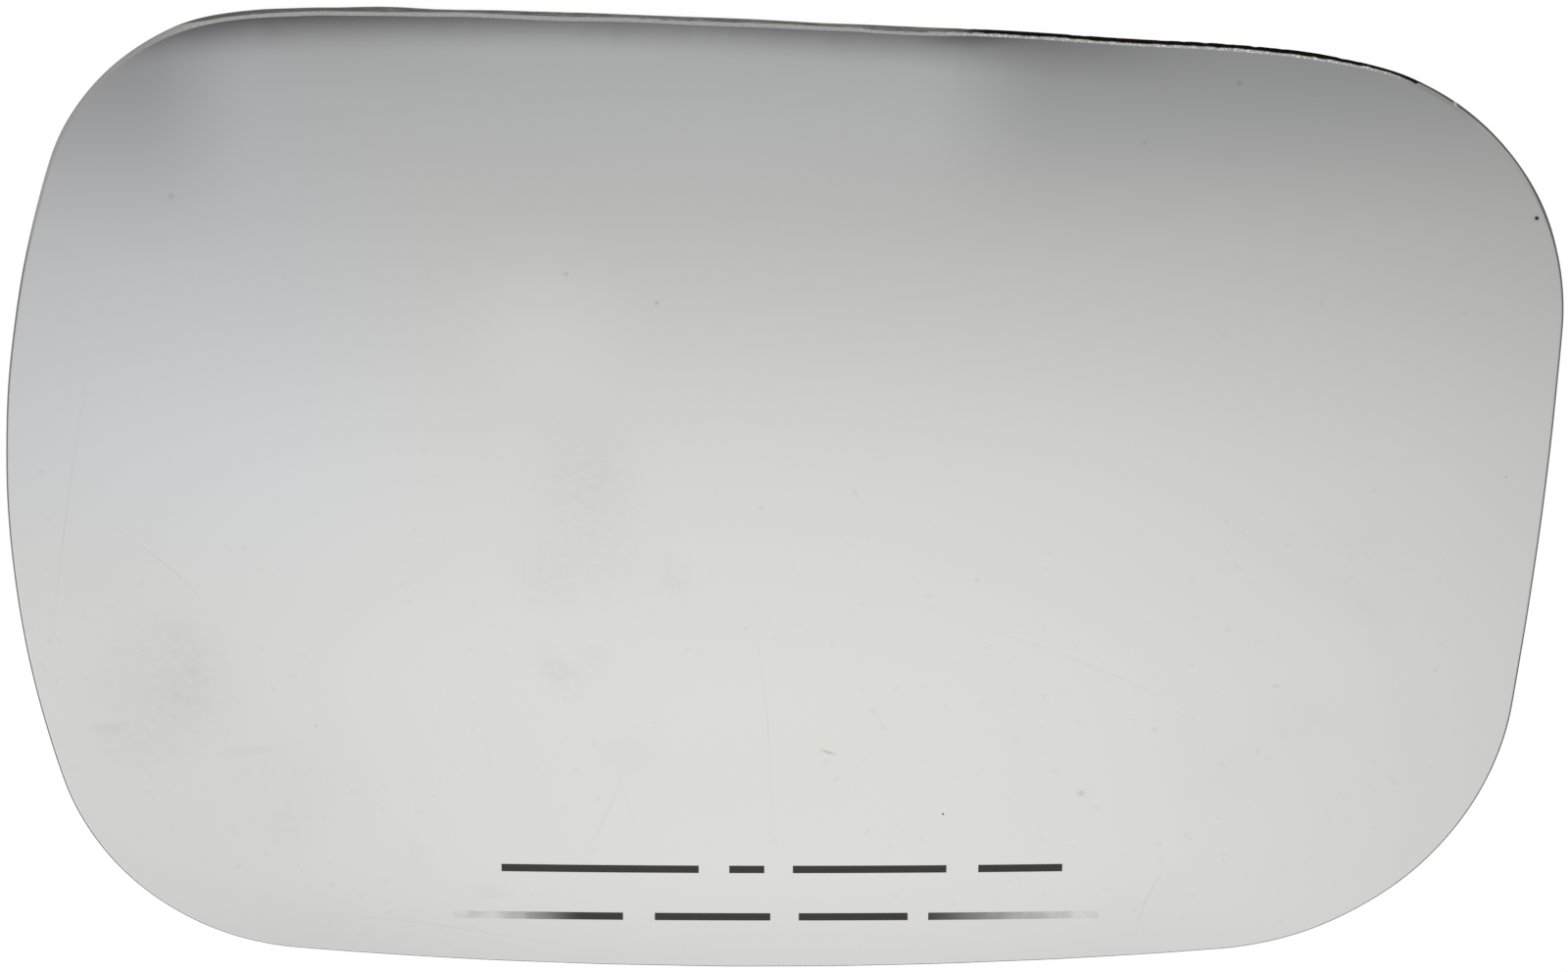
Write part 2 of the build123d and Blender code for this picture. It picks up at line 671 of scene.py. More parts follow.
@dataclass(frozen=True)
class GroundRim:
    """The rim: frosted where it was ground, and raw, dark and chippy where it was only cut.

    The grinding reaches some way down from the face. At the upper left it takes the whole edge. Along
    the upper right it is narrow, with painted glints in it, and black, splintered glass below it. The
    other sides are pale next to the face, with a thin darker line along their outer edge. Painted light
    makes them paler towards the bottom, and painted shade makes them darker at the upper right turn.
    """

    # Colours of the ground glass, with painted light and painted shade in two of them, of its outer
    # line, of the raw cut and of the painted glints
    frosted_top: Colour = (0.46, 0.465, 0.455)
    frosted_corner: Colour = (0.395, 0.398, 0.39)
    side_high: Colour = (0.48, 0.483, 0.475)
    # Painted light: paler ground glass low on the sides and along the bottom, where the bevel faces the
    # bright panel
    lit_side_low: Colour = (0.76, 0.76, 0.74)
    edge_left: Colour = (0.20, 0.202, 0.197)
    edge_right: Colour = (0.17, 0.17, 0.166)
    edge_low: Colour = (0.10, 0.10, 0.097)
    edge_turn: Colour = (0.15, 0.15, 0.146)
    # Painted shade: darker ground glass at the upper right turn, which faces away from the lamps
    shaded_frost_turn: Colour = (0.36, 0.362, 0.355)
    frost_grain: Colour = (0.92, 0.92, 0.90)
    raw: Colour = (0.145, 0.145, 0.130)
    raw_light: Colour = (0.29, 0.29, 0.265)
    splintered: Colour = (0.010, 0.008, 0.005)
    fleck: Colour = (0.12, 0.095, 0.05)
    # Painted glints: white of the flecks that catch the light in the chipped ground glass
    glint_colour: Colour = (0.95, 0.95, 0.93)
    # Gloss, the patterns in the ground glass and along the raw cut, and the pattern of the painted glints
    specular: float = 0.0
    ground_roughness: float = 0.62
    raw_roughness: float = 0.3
    grain: Mottle = Mottle(0.22 * MM, 3.0, 0.45, 0.75)
    grain_strength: float = 0.35
    grain_height: float = 0.08 * MM
    top_grains: float = 0.38
    dark_grains: float = 0.62
    painted_glints: Mottle = Mottle(0.3 * MM, 0.0, 0.62, 0.69)
    glint_end: tuple[float, float] = (0.6, 0.2)
    wobble: Mottle = Mottle(12 * MM, 1.0)
    ragged: Mottle = Mottle(1.6 * MM, 3.0)
    streaks: Mottle = Mottle(2.5 * MM, 4.0, 0.42, 0.68)
    flecks: Mottle = Mottle(1.1 * MM, 4.0, 0.64, 0.73)
    streak_squeeze: float = 9.0
    lighter_range: tuple[float, float] = (0.6, 1.9)
    # Depths below the face
    edge_from_mm: float = 0.14
    edge_full_mm: float = 0.26
    edge_deeper_mm: float = 0.45
    ground_depth_mm: float = 0.43
    full_depth_mm: float = 2.6
    narrow_by_mm: float = 0.13
    turn_depth_mm: float = 1.6
    wobble_mm: float = 0.6
    dark_wobble_mm: float = 0.2
    ragged_mm: float = 0.3
    blur_mm: float = 0.07
    # A painted glint on a chip, and the dark nick beside it, at the upper right corner
    chip_glint: Smudge = Smudge(97.7, 62.75, 0.6, 0.19, 1.0, -46)
    nick: Smudge = Smudge(98.25, 62.85, 0.9, 0.24, 1.0, -46)
    # Stretches across and up the glass, over which one look gives way to the next
    corner_x: tuple[float, float] = (-92 * MM, -82 * MM)
    lighter_x: tuple[float, float] = (-75 * MM, 0 * MM)
    splinter_x: tuple[float, float] = (22 * MM, 30 * MM)
    turn_x: tuple[float, float] = (91.7 * MM, 93.7 * MM)
    # Where the top's ground glass gives way to the painted shade of the upper right turn
    shade_turn_x: tuple[float, float] = (84 * MM, 93 * MM)
    right_x: tuple[float, float] = (0 * MM, 100 * MM)
    upper_y: tuple[float, float] = (33 * MM, 48 * MM)
    side_y: tuple[float, float] = (60 * MM, -40 * MM)
    low_y: tuple[float, float] = (-45 * MM, -65 * MM)
    turn_y: tuple[float, float] = (58 * MM, 64.5 * MM)
    edge_turn_y: tuple[float, float] = (24 * MM, 40 * MM)
    edge_deeper_y: tuple[float, float] = (44 * MM, 60 * MM)

    def material(self) -> bpy.types.Material:
        """Makes the finish.

        Returns:
            The material.
        """
        material, sheet, shader = surface("ground_rim")
        shader.inputs["Specular IOR Level"].default_value = self.specular
        x, y, _ = sheet.split(sheet.place())
        depth = sheet.add("ShaderNodeAttribute", attribute_name=DEPTH_LAYER).outputs["Fac"]
        along = sheet.join(x, y, sheet.product(depth, MM))
        upper = sheet.ease(y, *self.upper_y)
        turn = sheet.ease(x, *self.turn_x)
        dark = sheet.product(sheet.ease(x, *self.splinter_x), upper)
        grain = self.grain.plain(sheet, along)
        top = sheet.product(upper, sheet.ease(x, *self.shade_turn_x, 1.0, 0.0))
        frost = sheet.blend(top, self._sides(sheet, x, y, depth), self._top(sheet, x, dark, grain))
        cut = self._cut(sheet, depth, along, dark, turn)
        colour = sheet.blend(cut, frost, self._bare(sheet, x, y, depth, dark))
        flat = sheet.flat_place()
        colour = sheet.blend(self.nick.mask(sheet, flat), colour, rgba(self.splintered))
        # Painted glints: white flecks in the narrow ground stretch and on the chip
        painted_glints = sheet.product(self.painted_glints.blots(sheet, along), dark, top, sheet.ease(cut, *self.glint_end))
        painted_glints = sheet.math("MAXIMUM", painted_glints, self.chip_glint.mask(sheet, flat))
        sheet.fill(shader, {
            "Base Color": sheet.blend(painted_glints, colour, rgba(self.glint_colour)),
            "Roughness": sheet.ease(cut, 0.0, 1.0, self.ground_roughness, self.raw_roughness),
            "Normal": sheet.bump(grain, self.grain_strength, self.grain_height),
        })
        return material

    def _cut(
        self, sheet: NodeSheet, depth: Feed, along: Feed, dark: Feed, turn: Feed
    ) -> bpy.types.NodeSocket:
        """Finds where the grinding ends and the raw cut shows.

        Args:
            sheet: The rim's node sheet.
            depth: Depth below the face, in millimetres.
            along: Coordinates along the rim.
            dark: Mask of the splintered stretch.
            turn: Mask of the right side, from the corner on.

        Returns:
            Mask of the raw cut.
        """
        x = sheet.split(along)[0]
        limit = sheet.ease(x, *self.corner_x, self.full_depth_mm, self.ground_depth_mm)
        limit = sheet.math("MULTIPLY_ADD", dark, -self.narrow_by_mm, limit)
        limit = sheet.math("MULTIPLY_ADD", turn, self.turn_depth_mm, limit)
        most = sheet.ease(dark, 0.0, 1.0, self.wobble_mm, self.dark_wobble_mm)
        limit = sheet.math("MULTIPLY_ADD", self.wobble.sway(sheet, along), most, limit)
        ragged = sheet.math("MULTIPLY_ADD", self.ragged.sway(sheet, along), self.ragged_mm, depth)
        return sheet.ease(sheet.math("SUBTRACT", ragged, limit), -self.blur_mm, self.blur_mm)

    def _top(self, sheet: NodeSheet, x: Feed, dark: Feed, grain: Feed) -> bpy.types.NodeSocket:
        """Colours the ground glass along the top, with pale grains in it.

        Args:
            sheet: The rim's node sheet.
            x: Place across the glass.
            dark: Mask of the splintered stretch.
            grain: The pattern of the grains.

        Returns:
            The colour.
        """
        corner = sheet.ease(x, *self.corner_x)
        frost = sheet.blend(corner, rgba(self.frosted_corner), rgba(self.frosted_top))
        most = sheet.product(corner, self.top_grains)
        most = sheet.math("MULTIPLY_ADD", dark, self.dark_grains, most)
        grains = sheet.product(sheet.ease(grain, self.grain.start, self.grain.end), most)
        return sheet.blend(grains, frost, rgba(self.frost_grain))

    def _sides(self, sheet: NodeSheet, x: Feed, y: Feed, depth: Feed) -> bpy.types.NodeSocket:
        """Colours the ground glass along the other sides, paler towards the bottom with painted light and
        darker at the upper right turn with painted shade, with the darker line along its outer edge.

        Args:
            sheet: The rim's node sheet.
            x: Place across the glass.
            y: Place up the glass.
            depth: Depth below the face, in millimetres.

        Returns:
            The colour.
        """
        # Painted light: the ground glass grows paler towards the bottom
        inner = sheet.blend(sheet.ease(y, *self.side_y), rgba(self.side_high), rgba(self.lit_side_low))
        # Painted shade: the ground glass is darker at the upper right turn
        inner = sheet.blend(sheet.ease(y, *self.turn_y), inner, rgba(self.shaded_frost_turn))
        outer = sheet.blend(sheet.ease(x, *self.right_x), rgba(self.edge_left), rgba(self.edge_right))
        outer = sheet.blend(sheet.ease(y, *self.low_y), outer, rgba(self.edge_low))
        outer = sheet.blend(sheet.ease(y, *self.edge_turn_y), outer, rgba(self.edge_turn))
        deeper = sheet.ease(y, *self.edge_deeper_y, 0.0, self.edge_deeper_mm)
        line = sheet.ease(sheet.math("SUBTRACT", depth, deeper), self.edge_from_mm, self.edge_full_mm)
        return sheet.blend(line, inner, outer)

    def _bare(self, sheet: NodeSheet, x: Feed, y: Feed, depth: Feed, dark: Feed) -> bpy.types.NodeSocket:
        """Colours the raw cut, with streaks along it and flecks in its splintered stretch.

        Args:
            sheet: The rim's node sheet.
            x: Place across the glass.
            y: Place up the glass.
            depth: Depth below the face, in millimetres.
            dark: Mask of the splintered stretch.

        Returns:
            The colour.
        """
        place = sheet.join(x, y, sheet.product(depth, self.streak_squeeze * MM))
        share = sheet.ease(x, *self.lighter_x, *self.lighter_range)
        lighter = sheet.product(self.streaks.blots(sheet, place), share)
        plain = sheet.blend(lighter, rgba(self.raw), rgba(self.raw_light))
        flecked = self.flecks.blots(sheet, place)
        splinters = sheet.blend(flecked, rgba(self.splintered), rgba(self.fleck))
        return sheet.blend(dark, plain, splinters)


@dataclass(frozen=True)
class BackingPaint:
    """The dull grey paint that protects the silver from behind, with a fine orange peel."""

    paint: Colour = (0.130, 0.135, 0.140)
    thin: Colour = (0.152, 0.156, 0.160)
    roughness: float = 0.5
    clouds: Mottle = Mottle(30 * MM, 3.0)
    peel: Mottle = Mottle(0.9 * MM)
    peel_strength: float = 0.25
    peel_height: float = 0.1 * MM

    def material(self) -> bpy.types.Material:
        """Makes the finish.

        Returns:
            The material.
        """
        material, sheet, shader = surface("backing_paint")
        place = sheet.place()
        shader.inputs["Roughness"].default_value = self.roughness
        sheet.fill(shader, {
            "Base Color": sheet.blend(self.clouds.blots(sheet, place), rgba(self.paint), rgba(self.thin)),
            "Normal": sheet.bump(self.peel.plain(sheet, place), self.peel_strength, self.peel_height),
        })
        return material


@dataclass(frozen=True)
class EtchedMark:
    """Dark backing that shows through where the silver was etched away, fading at some ends into a
    silver mirror finish: painted glare.
    """

    dark: Colour = (0.034, 0.030, 0.025)
    silver: Colour = (0.87, 0.873, 0.857)
    # Painted glare: towards both ends of the lower row the bars turn to a silver mirror finish
    fade_below: float = -64.5 * MM
    left_fade: tuple[float, float] = (-30 * MM, -46 * MM)
    right_fade: tuple[float, float] = (20 * MM, 46 * MM)
    glare_mottle: Mottle = Mottle(2.5 * MM, 3.0, 0.25, 0.75)
    glare_range: tuple[float, float] = (0.75, 1.0)
    dark_roughness: float = 0.45
    silver_roughness: float = 0.05

    def material(self) -> bpy.types.Material:
        """Makes the finish.

        Returns:
            The material.
        """
        material, sheet, shader = surface("etched_mark")
        place = sheet.place()
        x, y, _ = sheet.split(place)
        left = sheet.ease(x, *self.left_fade)
        right = sheet.ease(x, *self.right_fade)
        lower = sheet.math("LESS_THAN", y, self.fade_below)
        uneven = self.glare_mottle.blots(sheet, place, *self.glare_range)
        # Painted glare: share of each bar that turns unevenly to silver mirror
        glare_share = sheet.product(sheet.math("ADD", left, right), lower, uneven)
        sheet.fill(shader, {
            "Base Color": sheet.blend(glare_share, rgba(self.dark), rgba(self.silver)),
            "Metallic": glare_share,
            "Roughness": sheet.ease(glare_share, 0.0, 1.0, self.dark_roughness, self.silver_roughness),
        })
        return material


@dataclass(frozen=True)
class DustSpeck:
    """A dark fleck of dust or dried dirt."""

    colour: Colour = (0.012, 0.012, 0.011)
    light: Colour = (0.018, 0.018, 0.0165)
    roughness: float = 0.7
    mottle: Mottle = Mottle(0.15 * MM)

    def material(self) -> bpy.types.Material:
        """Makes the finish.

        Returns:
            The material.
        """
        material, sheet, shader = surface("dark_speck")
        blots = self.mottle.blots(sheet, sheet.place())
        sheet.feed(shader.inputs["Base Color"], sheet.blend(blots, rgba(self.colour), rgba(self.light)))
        shader.inputs["Roughness"].default_value = self.roughness
        return material


@dataclass(frozen=True)
class Circle:
    """A circle that a stretch of the outline lies on."""

    centre: Vector
    radius: float

    def towards(self, place: Vector) -> Vector:
        """The point of the circle that lies on the way from its centre to a place."""
        return self.centre + (place - self.centre).normalized() * self.radius

    def shrunk(self, by: float) -> "Circle":
        """The same circle with its radius reduced."""
        return Circle(self.centre, self.radius - by)

    def meets(self, other: "Circle", near: Vector) -> Vector:
        """Finds where two circles cross.

        Args:
            other: The other circle.
            near: A place close to the crossing that is wanted.

        Returns:
            The crossing nearer to that place.
        """
        way = other.centre - self.centre
        along = (way.length_squared + self.radius**2 - other.radius**2) / (2 * way.length)
        aside = math.sqrt(self.radius**2 - along**2)
        ahead = way.normalized()
        left = Vector((-ahead.y, ahead.x))
        crossings = [self.centre + ahead * along + left * side for side in (aside, -aside)]
        return min(crossings, key=lambda place: (place - near).length)


@dataclass(frozen=True)
class Arc:
    """One round stretch of the outline, walked anticlockwise from start to end."""

    centre: Vector
    start: Vector
    end: Vector

    def sweep(self) -> float:
        """Angle that the stretch turns through, in radians."""
        first = self.start - self.centre
        last = self.end - self.centre
        return (math.atan2(last.y, last.x) - math.atan2(first.y, first.x)) % math.tau

    def steps(self, pitch: float) -> int:
        """Number of straight steps of about one pitch each."""
        return max(2, round((self.start - self.centre).length * self.sweep() / pitch))


@dataclass(frozen=True)
class Outline:
    """The glass seen from the front: four crowned sides, with a round at each corner.

    The setting-out corners, where the sides would meet, are measured from the lower left one. A
    crown is how far a side bows outwards from the line between its corners.
    """

    lower_right_across: float = 202.3 * MM
    lower_right_up: float = 1.15 * MM
    upper_left_across: float = 1.2 * MM
    upper_left_up: float = 150.6 * MM
    upper_right_across: float = 213.8 * MM
    upper_right_up: float = 139.6 * MM
    bottom_crown: float = 4.75 * MM
    right_crown: float = 3.25 * MM
    top_crown: float = 4.45 * MM
    left_crown: float = 16.95 * MM
    lower_left_round: float = 38.5 * MM
    lower_right_round: float = 46.5 * MM
    upper_right_round: float = 42.0 * MM
    upper_left_round: float = 36.0 * MM

    def corners(self) -> list[Vector]:
        """The setting-out corners, anticlockwise from the lower left one."""
        return [
            Vector((0.0, 0.0)),
            Vector((self.lower_right_across, self.lower_right_up)),
            Vector((self.upper_right_across, self.upper_right_up)),
            Vector((self.upper_left_across, self.upper_left_up)),
        ]

    def sides(self) -> list[Circle]:
        """The circles of the sides: bottom, right, top and left.

        Returns:
            One circle for each side.
        """
        corners = self.corners()
        crowns = (self.bottom_crown, self.right_crown, self.top_crown, self.left_crown)
        circles = []
        for start, end, crown in zip(corners, corners[1:] + corners[:1], crowns):
            chord = end - start
            radius = (chord.length_squared / 4 + crown**2) / (2 * crown)
            inwards = Vector((-chord.y, chord.x)).normalized()
            circles.append(Circle(start + chord / 2 + inwards * (radius - crown), radius))
        return circles

    def arcs(self) -> list[Arc]:
        """The whole outline, as the sides and the rounds between them in turn.

        Returns:
            The arcs, anticlockwise from the start of the bottom side.
        """
        sides = self.sides()
        lower = (self.lower_left_round, self.lower_right_round)
        upper = (self.upper_right_round, self.upper_left_round)
        rounds = []
        for place, (corner, size) in enumerate(zip(self.corners(), lower + upper)):
            before, after = sides[place - 1], sides[place]
            centre = before.shrunk(size).meets(after.shrunk(size), near=corner)
            rounds.append(Arc(centre, before.towards(centre), after.towards(centre)))
        arcs = []
        for side, first, last in zip(sides, rounds, rounds[1:] + rounds[:1]):
            arcs.append(Arc(side.centre, first.end, last.start))
            arcs.append(last)
        return arcs


@dataclass(frozen=True)
class Bend:
    """The pair of balls that the glass is bent between, one for its face and one for its back.

    Attributes:
        x: Their axis, across the glass.
        y: Their axis, up the glass.
        rear_crown: Height of the back on that axis.
        face_radius: Radius of the face.
        thickness: Thickness of the glass.
    """

    x: float
    y: float
    rear_crown: float
    face_radius: float = 1400 * MM
    thickness: float = 2.2 * MM

    @classmethod
    def from_mount(cls, name: str) -> "Bend":
        """Reads the bend's place from the mount in the middle of the back."""
        mount = next(item for item in frame["record"]["mounts"] if item["name"] == name)
        return cls(*mount["pos_m"])

    def arm(self, place: Vector, radius: float) -> Vector:
        """The way from the balls' centre to the ball of that radius, over a place on the glass."""
        across, up = place.x - self.x, place.y - self.y
        return Vector((across, up, math.sqrt(radius**2 - across**2 - up**2)))

    def face_height(self, place: Vector) -> float:
        """Height of the face over a place."""
        return self.arm(place, self.face_radius).z - self.face_radius + self.rear_crown + self.thickness

    def back_height(self, place: Vector) -> float:
        """Height of the back over a place."""
        radius = self.face_radius - self.thickness
        return self.arm(place, radius).z - radius + self.rear_crown


@dataclass(frozen=True)
class Dash:
    """A short bar etched through the silver: its two ends across the glass, and its level."""

    left: float
    right: float
    level: float
    height: float

    def holds(self, place: Vector) -> bool:
        """Whether a place on the face lies in the bar."""
        return self.left < place.x < self.right and abs(place.y - self.level) < self.height / 2


def ramp(value: float, start: float, end: float) -> float:
    """Goes evenly from 0 at start to 1 at end."""
    return min(1.0, max(0.0, (value - start) / (end - start)))


@dataclass(frozen=True)
class Wave:
    """A slow wave where the cut strayed from the line along the top, with its lengths in millimetres.

    Attributes:
        x: Its middle, across the glass.
        reach: How far it goes to each side.
        rise: How far the edge stands out there.
    """

    x: float
    reach: float
    rise: float

    def at(self, x: float) -> float:
        """How far the edge stands out over a place across the glass, all in metres."""
        off = min(1.0, abs(x / MM - self.x) / self.reach)
        return self.rise * MM * (1 - off**2) ** 2


@dataclass
class MirrorGlass:
    """The glass itself: its outline, its bend and its ground and cut edges."""

    outline: Outline
    bend: Bend
    dashes: list[Dash]
    # Ground edges, and how fine the mesh is
    front_bevel: float = 0.45 * MM
    rear_arris: float = 0.2 * MM
    rim_pitch: float = 0.8 * MM
    face_pitch: float = 3.0 * MM
    back_pitch: float = 4.0 * MM
    wall_rows: int = 6
    wall_slope: float = 0.5
    sharp_angle: float = math.radians(25)
    cut_slack: float = 1e-7
    # Waves, chips and lean of the cut along the top
    wave_pitch: float = 13.0 * MM
    wave_height: float = 0.20 * MM
    wave_least: float = 0.35
    wave_low_y: float = 30 * MM
    wave_full_y: float = 60 * MM
    chip_pitch: float = 1.3 * MM
    chip_depth: float = 0.32 * MM
    chip_start: float = 0.1
    chip_rows: float = 2.0
    chip_left_x: float = 24 * MM
    chip_right_x: float = 86 * MM
    lean: float = 0.17 * MM
    lean_x: tuple[float, float] = (18 * MM, 28 * MM)
    more_lean: float = 0.28 * MM
    more_lean_x: tuple[float, float] = (78 * MM, 88 * MM)
    lean_end_x: float = 98 * MM
    lean_y: tuple[float, float] = (30 * MM, 31 * MM)
    waves: tuple[Wave, ...] = (
        Wave(-76.4, 11.5, -0.36),
        Wave(-57.5, 8.0, 0.16),
        Wave(-2.0, 40.0, -0.15),
        Wave(18.0, 9.0, -0.16),
        Wave(40.0, 18.0, 0.22),
        Wave(66.0, 15.0, 0.26),
        Wave(82.5, 9.0, -0.36),
        Wave(99.0, 13.0, -0.10),
    )
    smudges: tuple[Smudge, ...] = (
        Smudge(-28.5, 7.3, 11.5, 11.0, 0.10),
        Smudge(-29.0, -4.0, 16.0, 18.0, 0.10),
        Smudge(-35.5, -12.0, 7.0, 8.0, 0.06),
        Smudge(-35.0, -25.0, 5.0, 2.8, 0.13, -55),
        Smudge(-28.0, -24.8, 4.5, 2.6, 0.12, 50),
        Smudge(-32.2, -28.0, 4.6, 3.2, 0.18),
        Smudge(-16.0, -11.2, 5.5, 4.0, 0.10, 50),
        Smudge(-88.8, -22.1, 8.0, 5.5, 0.08, -40),
        Smudge(-87.9, -29.0, 5.0, 7.5, 0.09),
        Smudge(-90.5, -33.0, 5.5, 5.0, 0.06),
        Smudge.round(-93.0, -31.0, 17.0, 0.12),
        Smudge(-97.6, -41.5, 11.0, 6.0, 0.06),
        Smudge(-73.3, -46.6, 15.0, 12.0, 0.06),
        Smudge(-75.1, -55.1, 7.0, 6.0, 0.06),
        Smudge(87.2, -16.8, 12.5, 4.2, 0.07, -42),
        Smudge(85.4, -5.7, 9.0, 4.5, 0.05),
        Smudge(67.4, -44.7, 10.0, 7.0, 0.05),
        Smudge(78.2, -35.8, 9.0, 8.0, 0.05),
        Smudge(-55.8, -58.0, 3.0, 5.2, 0.07),
        Smudge(-23.1, -40.7, 7.0, 6.0, 0.05),
    )

    def build(self) -> bpy.types.Object:
        """Models the glass.

        Returns:
            The finished piece, undressed.
        """
        mesh = bmesh.new()
        for name in (DEPTH_LAYER, GRIME_LAYER):
            mesh.verts.layers.float.new(name)
        depth = mesh.verts.layers.float[DEPTH_LAYER]
        grime = mesh.verts.layers.float[GRIME_LAYER]
        back = self._trace(mesh)
        lifted = bmesh.ops.extrude_face_region(mesh, geom=[back])["geom"]
        face = next(item for item in lifted if isinstance(item, bmesh.types.BMFace))
        bmesh.ops.translate(mesh, verts=face.verts[:], vec=(0, 0, self.bend.thickness))
        uprights = [edge for edge in mesh.edges if edge.verts[0].co.z != edge.verts[1].co.z]
        bmesh.ops.subdivide_edges(mesh, edges=uprights, cuts=self.wall_rows - 1)
        for vert in mesh.verts:
            share = 1 - vert.co.z / self.bend.thickness
            wall = self.bend.thickness - self.front_bevel - self.rear_arris
            vert[depth] = (self.front_bevel + share * wall) / MM
        self._roughen(mesh, depth)
        edges = ((face, self.front_bevel, 0.0), (back, self.rear_arris, self.bend.thickness))
        for flat, inset, level in edges:
            bmesh.ops.inset_region(
                mesh, faces=[flat], thickness=inset, use_even_offset=True, use_boundary=True
            )
            for vert in flat.verts:
                vert[depth] = level / MM
        fronts = self._cut(mesh, [face], self._grid(self.face_pitch) + self._dash_cuts())
        backs = self._cut(mesh, [back], self._grid(self.back_pitch))
        for vert in mesh.verts:
            vert[grime] = sum(smudge.at(vert.co) for smudge in self.smudges)
        self._bend(mesh, depth)
        self._zone(mesh, fronts, backs)
        return self._finish(mesh)

    def dress(self, piece: bpy.types.Object) -> None:
        """Gives each zone its finish, hangs the piece from its body and hides the node that it stands in
        for.

        Args:
            piece: The glass.
        """
        finishes = {
            Zone.FACE: SilveredFace(),
            Zone.RIM: GroundRim(),
            Zone.BACK: BackingPaint(),
            Zone.ETCHED: EtchedMark(),
            Zone.MARKED: MarkedFace(),
        }
        for zone in Zone:
            piece.data.materials.append(finishes[zone].material())
        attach(piece, BODY)
        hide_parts(GLASS_NODE)

    def _trace(self, mesh: bmesh.types.BMesh) -> bmesh.types.BMFace:
        """Draws the outline by spinning one point along each arc, and puts it where the node is.

        Args:
            mesh: The mesh to draw in.

        Returns:
            The flat face inside the outline.
        """
        arcs = self.outline.arcs()
        first = mesh.verts.new(arcs[0].start.to_3d())
        last = first
        for arc in arcs:
            spun = bmesh.ops.spin(
                mesh, geom=[last], cent=arc.centre.to_3d(), axis=(0, 0, 1),
                angle=arc.sweep(), steps=arc.steps(self.rim_pitch),
            )
            last = next(item for item in spun["geom_last"] if isinstance(item, bmesh.types.BMVert))
        bmesh.ops.weld_verts(mesh, targetmap={last: first})
        low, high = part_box(GLASS_NODE)
        middle_x = (min(vert.co.x for vert in mesh.verts) + max(vert.co.x for vert in mesh.verts)) / 2
        middle_y = (min(vert.co.y for vert in mesh.verts) + max(vert.co.y for vert in mesh.verts)) / 2
        shift = ((low.x + high.x) / 2 - middle_x, (low.y + high.y) / 2 - middle_y, 0)
        bmesh.ops.translate(mesh, verts=mesh.verts[:], vec=shift)
        return bmesh.ops.contextual_create(mesh, geom=mesh.edges[:])["faces"][0]

    def _roughen(self, mesh: bmesh.types.BMesh, depth: bmesh.types.BMLayerItem) -> None:
        """Makes the cut wavy along the top, and lets it lean inwards and chip at the upper right.

        Args:
            mesh: The flat plate, with its wall in rows.
            depth: Layer with each point's depth below the face, in millimetres.
        """
        bmesh.ops.recalc_face_normals(mesh, faces=mesh.faces[:])
        mesh.normal_update()
        outwards = {}
        for vert in mesh.verts:
            walls = [face.normal for face in vert.link_faces if abs(face.normal.z) < self.wall_slope]
            outwards[vert] = sum(walls, Vector()).normalized()
        span = self.bend.thickness - self.front_bevel - self.rear_arris
        for vert, way in outwards.items():
            place = vert.co.copy()
            upper = ramp(place.y, self.wave_low_y, self.wave_full_y)
            share = (vert[depth] * MM - self.front_bevel) / span
            level = share + (1 - share) * ramp(place.x, *self.lean_x)
            flat = Vector((place.x, place.y, level * self.wave_pitch))
            height = self.wave_height * (self.wave_least + (1 - self.wave_least) * upper)
            swell = noise.noise(flat / self.wave_pitch) * height
            swell += upper * sum(wave.at(place.x) for wave in self.waves)
            steep = ramp(place.x, *self.lean_x) * self.lean
            steep += ramp(place.x, *self.more_lean_x) * self.more_lean
            loss = steep * (share - 0.5)
            if self.chip_left_x < place.x < self.chip_right_x:
                scar = Vector((place.x, place.y, self.chip_rows * share * self.chip_pitch))
                bite = noise.noise(scar / self.chip_pitch)
                loss += max(0.0, bite - self.chip_start) * self.chip_depth * share
            loss *= ramp(place.y, *self.lean_y)
            vert.co += way * (swell - loss * ramp(place.x, self.lean_end_x, self.chip_right_x))

    def _grid(self, pitch: float) -> list[tuple[Vector, Vector]]:
        """Planes that cut a face of the plate into a grid.

        Args:
            pitch: About how far they lie apart.

        Returns:
            A point and a normal for each plane.
        """
        low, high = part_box(GLASS_NODE)
        planes = []
        for start, end, way in ((low.x, high.x, Vector((1, 0, 0))), (low.y, high.y, Vector((0, 1, 0)))):
            count = round((end - start) / pitch)
            planes += [(way * (start + (end - start) * step / count), way) for step in range(1, count)]
        return planes

    def _dash_cuts(self) -> list[tuple[Vector, Vector]]:
        """Planes along the sides of the etched bars.

        Returns:
            A point and a normal for each plane.
        """
        ends = {end for dash in self.dashes for end in (dash.left, dash.right)}
        levels = {dash.level + side * dash.height / 2 for dash in self.dashes for side in (1, -1)}
        across, up = Vector((1, 0, 0)), Vector((0, 1, 0))
        uprights = [(across * end, across) for end in sorted(ends)]
        return uprights + [(up * level, up) for level in sorted(levels)]

    def _cut(
        self, mesh: bmesh.types.BMesh, faces: list[bmesh.types.BMFace], planes: list[tuple[Vector, Vector]]
    ) -> list[bmesh.types.BMFace]:
        """Cuts faces along planes.

        Args:
            mesh: The mesh that they are in.
            faces: The faces to cut.
            planes: A point and a normal for each cut.

        Returns:
            The faces that they became.
        """
        for point, normal in planes:
            edges = {edge for face in faces for edge in face.edges}
            verts = {vert for face in faces for vert in face.verts}
            geom = sorted(verts, key=lambda item: item.index) + list(edges) + faces
            cut = bmesh.ops.bisect_plane(
                mesh, geom=geom, plane_co=point, plane_no=normal, dist=self.cut_slack
            )
            faces = [item for item in cut["geom"] if isinstance(item, bmesh.types.BMFace)]
        return faces

